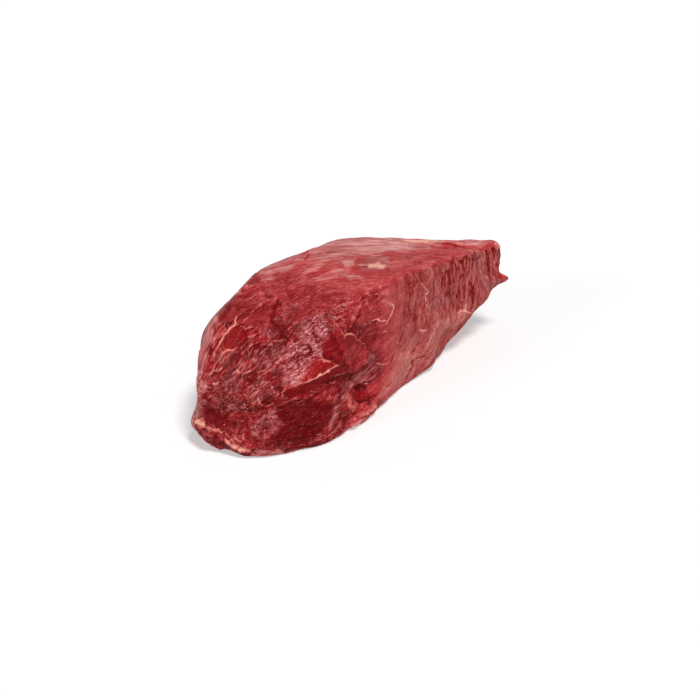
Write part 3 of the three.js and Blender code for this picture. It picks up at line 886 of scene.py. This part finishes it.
def grain_relief(points, cut, nose, film, calm, flat):
    """The relief of the bundles of fibres, with their tints, and the ridges and creases between them."""
    run = along_run(points) + wander(points, 26.0, 6.0, 50) + wander(points, 8.0, 2.4, 60)
    border, tint, along = Bundles(5)(run / BUNDLE)
    small, small_tint, small_along = Bundles(7)(run / SMALL_BUNDLE)
    patches = Noise(19)(run / [26.0, 13.0, 13.0])
    strong = (0.25 + 0.5 * nose) * (1.0 - 0.5 * film) * (1.0 - 0.8 * calm) * (1.0 - 0.5 * flat)
    ridge = ramp(0.12 - border, 0.0, 0.1) * ramp(patches, -0.15, 0.25)
    small_ridge = 0.55 * ramp(0.14 - small, 0.0, 0.12) * ramp(-patches, 0.0, 0.4)
    ridge = (1.0 - calm) * np.maximum(ridge, small_ridge)
    crease = ramp(0.14 - border, 0.0, 0.14) * ramp(-patches, 0.1, 0.45)
    top = strong * (0.4 * (dome(border, 0.3) - 0.75) + 0.8 * tint + 1.1 * along)
    top += strong * (0.25 * (dome(small, 0.4) - 0.7) + 0.35 * small_tint + 0.5 * small_along)
    top += strong * (0.55 * ridge - 1.2 * crease)
    top += film * 0.4 * (np.abs(Noise(9)(run / [5.0, 3.4, 3.4])) - 0.4)

    across = along_cut(points) + wander(points, 30.0, 1.4, 70) + wander(points, 9.0, 0.6, 80)
    cord, cord_tint, _ = Bundles(13)(across / CORD)
    thread, thread_tint, _ = Bundles(17)(across / THREAD)
    far = (0.22 + 0.78 * ramp(points[:, 0], 20.0, 130.0)) * (0.35 + 0.65 * ramp(points[:, 2], 25.0, 65.0))
    side = far * (dome(cord, 0.35) - 0.72 + 0.5 * cord_tint)
    side += 0.45 * (dome(thread, 0.4) - 0.7) + 0.3 * thread_tint
    deep = ramp(Noise(21)(across / [16.0, 30.0, 40.0]), -0.2, 0.5)
    cut_crease = far * deep * ramp(0.1 - cord, 0.0, 0.1) + 0.1 * ramp(0.12 - thread, 0.0, 0.12)
    fields = {
        # The material darkens these creases with painted shade.
        "crease": (1 - cut) * strong * crease + cut * cut_crease,
        "ridge": (1 - cut) * (0.5 + 0.5 * nose) * ridge,
        "tint": (1 - cut) * (1 - calm) * (tint + 0.5 * small_tint) + cut * (cord_tint + 0.5 * thread_tint),
    }
    return (1 - cut) * top + cut * side, fields


def pull_shred(points):
    """Draws the shred out to its tip."""
    near = np.clip(1.0 - np.linalg.norm(points - SHRED_TIP, axis=1) / SHRED_REACH, 0.0, 1.0)
    return points + SHRED_PULL * near[:, None] * SHRED_WAY


def node_mesh(node):
    """The points of the solid, in mm, and its triangles."""
    mesh = node.data
    points = np.empty(len(mesh.vertices) * 3, np.float32)
    mesh.vertices.foreach_get("co", points)
    mesh.calc_loop_triangles()
    triangles = np.empty(len(mesh.loop_triangles) * 3, np.int32)
    mesh.loop_triangles.foreach_get("vertices", triangles)
    return weld(points.reshape(-1, 3).astype(float) / MM, triangles.reshape(-1, 3).astype(np.int64))


def settled(points, triangles, rounds):
    """Smoothed points, none of them under the floor."""
    points = smooth(points, triangles, rounds)
    points[:, 2] = np.maximum(points[:, 2], 0.0)
    return points


def carried_marks(tree):
    """The marks, with their lines on the muscle, and the points round which its mesh has to be fine."""
    marks = []
    for kind, wide, strength, pixels in MARKS:
        line = carry(pixels, tree)
        if len(line):
            marks.append((kind, wide, strength, line))
    narrow = [line for kind, _, _, line in marks if kind not in BROAD_KINDS]
    raised = [carry(outline + outline[:1], tree) for _, rise, _, outline in AREAS if abs(rise) > 1.0]
    return marks, np.concatenate(narrow + raised)


def refined(points, triangles, fine_samples):
    """The mesh with edges that are short enough for its relief, shortest round the fine samples."""
    for rounds in ROUNDS:
        facing = normals_of(points, triangles) @ BACK
        limits = EDGE_FRONT + (EDGE_HIDDEN - EDGE_FRONT) * ramp(-facing, -0.05, 0.15)
        limits[points[:, 2] < SEAT_LEVEL] = EDGE_SEAT
        limits[(facing > -0.05) & close_to(points, fine_samples)] = EDGE_MARK
        points, triangles = split_edges(points, triangles, limits)
        points = settled(points, triangles, rounds)
    return points, triangles


def make_muscle(node):
    """The fine mesh of the muscle, in mm, with the fields that its material reads."""
    points, triangles = node_mesh(node)
    low, high = points.min(0), points.max(0)
    coarse = np.where(points[:, 2] < SEAT_LEVEL, EDGE_SEAT, EDGE_COARSE)
    points, triangles = split_edges(points, triangles, coarse)
    points = settled(points, triangles, FIRST_ROUNDS)
    tree = tree_of(points, triangles)
    marks, fine_samples = carried_marks(tree)
    marks += grown_veins(points, normals_of(points, triangles), tree, UNSEEN_VEINS, 23)
    points, triangles = refined(points, triangles, fine_samples)

    normals = normals_of(points, triangles)
    cut = cut_share(points + 6.0 * Noise(29)(points / 9.0)[:, None] * normals, normals)
    mark_height, fields = press_marks(points, normals, marks)
    nose = ramp(-points[:, 0], 5.0, 75.0)
    flat = ramp(normals[:, 2], 0.2, 0.7)
    grain, grain_fields = grain_relief(points, cut, nose, fields["film"], fields["calm"], flat)
    pressed = ramp(normals[:, 2], -0.93, -0.55)
    height = pressed * (mark_height + grain)
    edges, _ = edges_of(triangles, len(points))
    level = height[:, None]
    for _ in range(LEVEL_ROUNDS):
        level = neighbour_mean(level, edges)
    # How far a point lies below its surroundings: the material paints shade into hollows and light onto
    # raised places.
    fields["hollow"] = np.clip((level[:, 0] - height) / 0.7, -1.0, 1.0)
    fields.update(grain_fields)
    fields["deep"] = ramp(-points[:, 0], 2.0, 45.0)
    fields["cut"] = cut
    fields["skin"] = np.maximum(fields["skin"], skin_share(points, normals))
    # Places that face up take the paler top colours, partly as painted light.
    fields["top"] = ramp(normals[:, 2] - 0.22 * nose, 0.56, 0.95)
    ways = {"run": along_run(points), "lay": along_top(points), "across": along_cut(points)}
    shaped = np.clip(pull_shred(points + height[:, None] * normals), low, high)
    return shaped, triangles, fields, ways


def make_mesh(name, points, triangles, fields, places):
    """A mesh object, which keeps fields of numbers and of places for its material."""
    mesh = bpy.data.meshes.new(name)
    mesh.from_pydata((points * MM).tolist(), [], triangles.tolist())
    for field, values in fields.items():
        mesh.attributes.new(field, "FLOAT", "POINT").data.foreach_set("value", values.astype(np.float32))
    for field, values in places.items():
        mesh.attributes.new(field, "FLOAT_VECTOR", "POINT").data.foreach_set(
            "vector", values.astype(np.float32).ravel())
    mesh.shade_smooth()
    piece = bpy.data.objects.new(name, mesh)
    bpy.context.scene.collection.objects.link(piece)
    return piece


# Materials.

def linear(colour):
    """A colour of 255, as Blender's sockets take it."""
    share = np.array(colour) / 255.0
    return (*np.where(share <= 0.04045, share / 12.92, ((share + 0.055) / 1.055) ** 2.4), 1.0)


class Nodes:
    """Adds shader nodes. What a call is given is a socket, a number or a colour."""

    RAMP_SOCKETS = ("Value", "From Min", "From Max", "To Min", "To Max")

    def __init__(self, material):
        self.tree = material.node_tree

    def put(self, socket, value):
        if isinstance(value, bpy.types.NodeSocket):
            self.tree.links.new(value, socket)
        elif value is not None:
            socket.default_value = value

    def add(self, kind, **settings):
        node = self.tree.nodes.new(kind)
        for name, value in settings.items():
            setattr(node, name, value)
        return node

    def field(self, name):
        return self.add("ShaderNodeAttribute", attribute_name=name).outputs["Fac"]

    def place(self, name):
        return self.add("ShaderNodeAttribute", attribute_name=name).outputs["Vector"]

    def math(self, operation, a, b=None, c=None, clamp=False):
        node = self.add("ShaderNodeMath", operation=operation, use_clamp=clamp)
        for socket, value in zip(node.inputs, (a, b, c)):
            self.put(socket, value)
        return node.outputs[0]

    def ramp(self, value, low, high, bottom=0.0, top=1.0):
        node = self.add("ShaderNodeMapRange", interpolation_type="SMOOTHSTEP")
        for name, number in zip(self.RAMP_SOCKETS, (value, low, high, bottom, top)):
            self.put(node.inputs[name], number)
        return node.outputs["Result"]

    def warped(self, vector, amount, wavelength):
        """A vector pushed about by noise."""
        push = self.add("ShaderNodeTexNoise")
        self.put(push.inputs["Vector"], vector)
        self.put(push.inputs["Scale"], 1.0 / wavelength)
        centred = self.add("ShaderNodeVectorMath", operation="SUBTRACT")
        self.put(centred.inputs[0], push.outputs["Color"])
        self.put(centred.inputs[1], (0.5, 0.5, 0.5))
        moved = self.add("ShaderNodeVectorMath", operation="MULTIPLY_ADD")
        self.put(moved.inputs[0], centred.outputs[0])
        self.put(moved.inputs[1], (amount, amount, amount))
        self.put(moved.inputs[2], vector)
        return moved.outputs[0]

    def noise(self, vector, wavelengths, detail=2.0, roughness=0.5):
        """Noise of a vector in mm, with a wavelength for each of its axes."""
        scaled = self.add("ShaderNodeVectorMath", operation="MULTIPLY")
        self.put(scaled.inputs[0], vector)
        self.put(scaled.inputs[1], tuple(1.0 / w for w in wavelengths))
        node = self.add("ShaderNodeTexNoise")
        self.put(node.inputs["Vector"], scaled.outputs[0])
        self.put(node.inputs["Scale"], 1.0)
        self.put(node.inputs["Detail"], detail)
        self.put(node.inputs["Roughness"], roughness)
        return node.outputs["Fac"]

    def blend(self, a, b, share):
        """Between two colours."""
        node = self.add("ShaderNodeMix", data_type="RGBA")
        sockets = {s.identifier: s for s in node.inputs}
        self.put(sockets["A_Color"], a)
        self.put(sockets["B_Color"], b)
        self.put(sockets["Factor_Float"], share)
        return node.outputs[2]

    def gradient(self, value, colours):
        """Evenly spaced colours, for values from 0 to 1."""
        node = self.add("ShaderNodeValToRGB")
        stops = node.color_ramp.elements
        while len(stops) < len(colours):
            stops.new(0.5)
        for index, colour in enumerate(colours):
            stops[index].position = index / (len(colours) - 1)
            stops[index].color = linear(colour)
        self.put(node.inputs["Fac"], value)
        return node.outputs["Color"]

    def total(self, start, *parts):
        """A number plus each amount times how far its noise is from the middle."""
        value = start
        for noise, amount in parts:
            value = self.math("ADD", self.math("MULTIPLY_ADD", noise, amount, -0.5 * amount), value)
        return value

    def crests(self, noise, width):
        """Thin wavy lines, where noise passes through its middle."""
        away = self.math("ABSOLUTE", self.math("SUBTRACT", noise, 0.5))
        return self.ramp(away, 0.0, width, 1.0, 0.0)

    def mix(self, a, b, share):
        """Between two numbers."""
        node = self.add("ShaderNodeMix")
        sockets = {s.identifier: s for s in node.inputs}
        self.put(sockets["A_Float"], a)
        self.put(sockets["B_Float"], b)
        self.put(sockets["Factor_Float"], share)
        return node.outputs[0]


def stretched(n, f, run, lay, across, detail, roughness=0.5, cut_roughness=0.5):
    """Noise along the fibres. Run, lay and across are its wavelengths on the nose, top and side cut."""
    whole = n.mix(n.noise(f.run, run, detail, roughness), n.noise(f.lay, lay, detail, roughness), f.top)
    return n.mix(whole, n.noise(f.across, across, detail, cut_roughness), f.cut)


def beef_patterns(n):
    """What the layers share: the fields and places on the mesh, and the patterns of the grain."""
    f = SimpleNamespace(**{name: n.field(name) for name in FIELDS})
    f.deep = n.math("MULTIPLY", f.deep, n.math("SUBTRACT", 1.0, n.math("MAXIMUM", f.top, f.haze)))
    f.run = n.warped(n.place("run"), 5.0, 20.0)
    f.lay = n.warped(n.place("lay"), 4.0, 30.0)
    f.across = n.warped(n.place("across"), 1.2, 12.0)
    f.fibres = stretched(n, f, (22.0, 3.0, 3.0), (34.0, 4.0, 8.0), (2.2, 10.0, 16.0), 3.0, 0.6, 0.65)
    f.threads = stretched(n, f, (8.0, 1.7, 1.7), (12.0, 2.2, 3.0), (1.4, 5.0, 8.0), 2.0)
    f.mottle = n.noise(f.run, (9.0, 6.0, 6.0), 3.0, 0.6)
    f.specks = n.noise(f.run, (2.6, 1.5, 1.5), 2.0, 0.6)
    f.broad = n.noise(f.run, (40.0, 22.0, 22.0))
    f.crinkles = n.crests(n.noise(n.warped(f.run, 2.5, 4.0), (8.0, 2.0, 2.0), 2.0, 0.6), 0.07)
    f.fat_share = n.ramp(n.total(f.fat, (f.specks, 1.2), (f.mottle, 1.0)), 0.2, 0.95)
    return f


def lean_colour(n, f):
    """Lean meat: paler on its raised fibres, partly as painted light, and darker in its hollows and
    creases as painted shade.
    """
    # Painted shade for hollows and creases, painted light for raised places, and the dark paint.
    shade_and_darkness = n.math("MULTIPLY_ADD", f.hollow, 0.3, n.math("MULTIPLY", f.crease, 0.45))
    shade_and_darkness = n.math("MULTIPLY_ADD", f.dark, 0.45, shade_and_darkness)
    level = n.math("SUBTRACT", n.math("MULTIPLY_ADD", f.haze, 0.35, 0.48), shade_and_darkness)
    level = n.math("MULTIPLY_ADD", f.tint, 0.3, level)
    tone = n.total(level, (f.fibres, 0.8), (f.threads, 0.75), (f.mottle, 0.4), (f.broad, 0.7),
                   (f.specks, 0.4))
    deep_tone = n.total(n.math("SUBTRACT", level, 0.08), (f.fibres, 0.9), (f.threads, 1.6),
                        (f.mottle, 0.4), (f.broad, 0.3), (f.specks, 0.8))
    tone = n.mix(n.mix(tone, deep_tone, f.deep), level, n.math("MULTIPLY", f.calm, 0.45))
    lean = n.blend(n.gradient(tone, TOP_LEAN), n.gradient(tone, NOSE_LEAN), f.deep)
    grain = n.blend(n.gradient(tone, CUT_LEAN), linear(LILAC), n.ramp(f.broad, 0.48, 0.66, 0.0, 0.55))
    lean = n.blend(lean, grain, f.cut)
    return n.blend(lean, linear(LIVELY), n.math("MULTIPLY", f.red, 0.75))


def add_tissue(n, f, colour):
    """Thin, pale connective tissue: on the ridges, and in streaks and specks along the fibres."""
    ridges = n.math("MULTIPLY", f.ridge, n.ramp(f.specks, 0.35, 0.65, 0.1, 0.6))
    wisps = n.crests(n.noise(f.run, (16.0, 4.5, 4.5), 1.5), 0.035)
    wisps = n.math("MULTIPLY", n.math("MULTIPLY", wisps, f.deep), n.ramp(f.mottle, 0.5, 0.58, 0.0, 0.5))
    streaks = n.ramp(f.fibres, 0.6, 0.7, 0.0, 0.6)
    dashes = stretched(n, f, (7.0, 1.3, 1.3), (9.0, 1.6, 2.0), (1.7, 4.5, 8.0), 1.0)
    dashes = n.ramp(n.math("MULTIPLY_ADD", f.strewn, 0.05, dashes), 0.63, 0.7, 0.0, 0.95)
    tissue = n.math("MAXIMUM", n.math("MAXIMUM", ridges, wisps), n.math("MAXIMUM", streaks, dashes))
    tissue = n.math("MULTIPLY", tissue, n.math("MULTIPLY_ADD", f.calm, -0.8, 1.0))
    return n.blend(colour, linear(TISSUE), n.math("MULTIPLY", tissue, n.mix(0.75, 0.4, f.cut)))


def add_film_and_sheen(n, f, colour):
    """Glossy, crinkled and cracked film, in patches: a real membrane whose pale lilac colour is partly
    painted sheen and glints, and which is darker along its crinkles as painted shade.
    """
    strokes = n.noise(n.warped(f.run, 1.5, 5.0), (6.5, 1.2, 1.2), 2.0, 0.6)
    cracks = n.crests(n.noise(n.warped(f.run, 3.0, 5.0), (9.0, 6.0, 6.0), 1.0), 0.016)
    tone = n.math("MULTIPLY_ADD", f.dark, -0.3, n.math("MULTIPLY_ADD", f.haze, 0.2, 0.58))
    tone = n.total(tone, (strokes, 2.4), (f.specks, 0.9), (f.mottle, 1.3))
    # Darker along the crinkles: painted shade.
    tone = n.math("SUBTRACT", tone, n.math("MULTIPLY", f.crinkles, 0.35))
    tone = n.math("SUBTRACT", tone, n.math("MULTIPLY", cracks, 0.6))
    share = n.ramp(n.total(f.film, (f.mottle, 2.2)), 0.45, 0.85)
    return n.blend(colour, n.gradient(tone, FILM_AND_SHEEN), n.math("MULTIPLY", share, 0.8))


def add_shade(n, f, colour):
    """Painted shade in clefts, creases and grooves and on sunken sides, mixed with the deep colour of dark
    meat.
    """
    share = n.math("MULTIPLY", n.math("MAXIMUM", f.dark, f.crease), 0.5)
    share = n.math("MULTIPLY_ADD", n.math("POWER", f.dark, 8.0), 0.3, share)
    return n.blend(colour, linear(SHADE), share)


def add_skin(n, f, colour):
    """The skin of the back and of some places in front, torn away in patches."""
    share = n.ramp(n.total(f.skin, (f.broad, 1.0), (f.mottle, 0.7), (f.fibres, 0.6)), 0.3, 0.8)
    tone = n.math("MULTIPLY_ADD", f.dark, -0.4, n.math("MULTIPLY_ADD", f.haze, 0.2, 0.5))
    tone = n.total(tone, (f.fibres, 1.8), (f.threads, 1.0), (f.broad, 1.2))
    return n.blend(colour, n.gradient(tone, SKIN), n.math("MULTIPLY", share, 0.9))


def add_fat(n, f, colour):
    """Fat, uneven, with ragged edges."""
    fat = n.blend(linear(FAT), linear(FAT_PALE), n.ramp(n.total(f.fat, (f.mottle, 0.8)), 0.78, 1.0))
    return n.blend(colour, fat, f.fat_share)


def add_gloss(n, f, surface):
    """Wet and glossy, but duller on the cuts and the top and where the surface is sheltered."""
    dull = n.math("MAXIMUM", f.cut, n.math("MULTIPLY", f.top, 0.7))
    sheltered = n.math("MULTIPLY", f.hollow, 0.8)
    sheltered = n.math("MAXIMUM", n.math("MAXIMUM", f.dark, f.crease), sheltered, clamp=True)
    rough = n.mix(n.total(n.mix(0.24, 0.5, dull), (f.mottle, 0.3)), 0.85, sheltered)
    facing = n.add("ShaderNodeLayerWeight").outputs["Facing"]
    wet = n.math("MULTIPLY", n.mix(1.0, 0.15, dull), n.ramp(facing, 0.6, 0.9, 1.0, 0.2))
    n.put(surface.inputs["Roughness"], n.mix(rough, 0.5, f.fat_share))
    n.put(surface.inputs["Specular IOR Level"], SPECULAR_LEVEL)
    n.put(surface.inputs["IOR"], MEAT_IOR)
    n.put(surface.inputs["Coat Weight"], n.math("MULTIPLY", wet, n.mix(1.0, 0.15, sheltered)))
    n.put(surface.inputs["Coat Roughness"], COAT_ROUGHNESS)
    n.put(surface.inputs["Coat IOR"], COAT_IOR)


def add_fine_relief(n, f, surface):
    """Relief that is finer than the mesh."""
    fine = n.math("MULTIPLY", n.math("MULTIPLY", f.crinkles, f.film), -0.4)
    fine = n.total(fine, (f.fibres, 1.0), (f.threads, 0.8), (f.specks, 0.9))
    bump = n.add("ShaderNodeBump")
    n.put(bump.inputs["Height"], fine)
    n.put(bump.inputs["Strength"], 1.0)
    n.put(bump.inputs["Distance"], BUMP_DEPTH * MM)
    for socket in ("Normal", "Coat Normal"):
        n.put(surface.inputs[socket], bump.outputs["Normal"])


def beef_material():
    material = bpy.data.materials.new("raw_beef")
    material.use_nodes = True
    surface = material.node_tree.nodes["Principled BSDF"]
    n = Nodes(material)
    f = beef_patterns(n)
    colour = lean_colour(n, f)
    for add_layer in (add_tissue, add_film_and_sheen, add_shade, add_skin, add_fat):
        colour = add_layer(n, f, colour)
    n.put(surface.inputs["Base Color"], colour)
    add_gloss(n, f, surface)
    add_fine_relief(n, f, surface)
    return material


def plain_material(name, colour, roughness, glow):
    """A smooth material that gives off some white light."""
    material = bpy.data.materials.new(name)
    material.use_nodes = True
    surface = material.node_tree.nodes["Principled BSDF"]
    surface.inputs["Base Color"].default_value = linear(colour)
    surface.inputs["Roughness"].default_value = roughness
    surface.inputs["Emission Color"].default_value = (1.0, 1.0, 1.0, 1.0)
    surface.inputs["Emission Strength"].default_value = glow
    return material


# Studio.

def add_camera():
    camera = bpy.data.objects.new("camera", bpy.data.cameras.new("camera"))
    camera.data.lens = LENS
    camera.data.sensor_width = SENSOR
    camera.data.clip_end = SIGHT_END
    turn = Matrix(np.stack([RIGHT, UP, BACK], axis=1).tolist()).to_4x4()
    camera.matrix_world = Matrix.Translation(EYE * MM) @ turn
    bpy.context.scene.collection.objects.link(camera)
    bpy.context.scene.camera = camera


def add_lamp(name, bearing, tilt, spread, strength, glossy=True):
    """A far, soft light. Its bearing, its tilt above the floor and its spread are in degrees.

    Glossy tells whether the muscle mirrors it.
    """
    lamp = bpy.data.lights.new(name, "SUN")
    lamp.energy = strength
    lamp.angle = math.radians(spread)
    light = bpy.data.objects.new(name, lamp)
    light.visible_glossy = glossy
    around, up = math.radians(bearing), math.radians(tilt)
    source = Vector((math.cos(around) * math.cos(up), math.sin(around) * math.cos(up), math.sin(up)))
    light.rotation_euler = (-source).to_track_quat("-Z", "Y").to_euler()
    bpy.context.scene.collection.objects.link(light)


def add_room():
    """A white room, brighter low down. What the muscle mirrors is dim, and brighter only behind it."""
    world = bpy.data.worlds.new("studio")
    bpy.context.scene.world = world
    world.use_nodes = True
    n = Nodes(world)
    background = world.node_tree.nodes["Background"]
    background.inputs["Color"].default_value = (1.0, 1.0, 1.0, 1.0)
    split = n.add("ShaderNodeSeparateXYZ")
    n.put(split.inputs[0], n.add("ShaderNodeTexCoord").outputs["Generated"])
    sky = n.ramp(split.outputs["Z"], 0.1, 0.7, 0.6, 0.15)
    toward = n.add("ShaderNodeVectorMath", operation="DOT_PRODUCT")
    n.put(toward.inputs[0], n.add("ShaderNodeTexCoord").outputs["Generated"])
    n.put(toward.inputs[1], tuple(-BACK))
    spread = n.math("MULTIPLY", sky, n.ramp(split.outputs["Z"], -0.02, 0.02, 0.2, 1.0))
    mirrored = n.ramp(toward.outputs["Value"], 0.75, 0.95, 0.12, 0.6)
    glossy = n.add("ShaderNodeLightPath").outputs["Is Glossy Ray"]
    n.put(background.inputs["Strength"], n.mix(spread, mirrored, glossy))


def add_floor():
    bpy.ops.mesh.primitive_plane_add(size=FLOOR_SIZE)
    floor = bpy.context.object
    floor.name = "floor"
    floor.visible_glossy = False
    floor.data.materials.append(plain_material("pale_floor", FLOOR, FLOOR_ROUGHNESS, FLOOR_GLOW))


def add_studio():
    """A room, three soft lamps and a floor.

    The muscle mirrors neither the floor nor the low lamp, so that no grey veil lies on the dark
    meat.
    """
    add_room()
    add_lamp("overhead", bearing=-105.0, tilt=66.0, spread=15.0, strength=2.5)
    add_lamp("left", bearing=170.0, tilt=25.0, spread=15.0, strength=0.6)
    add_lamp("low_right", bearing=-60.0, tilt=3.0, spread=30.0, strength=0.25, glossy=False)
    add_floor()
    bpy.context.scene.view_settings.view_transform = "Standard"


muscle = make_mesh("muscle", *make_muscle(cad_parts["beef_round"]))
muscle.data.materials.append(beef_material())
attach(muscle, "root")
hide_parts("beef_round")
add_camera()
add_studio()
print("muscle:", len(muscle.data.polygons), "triangles")
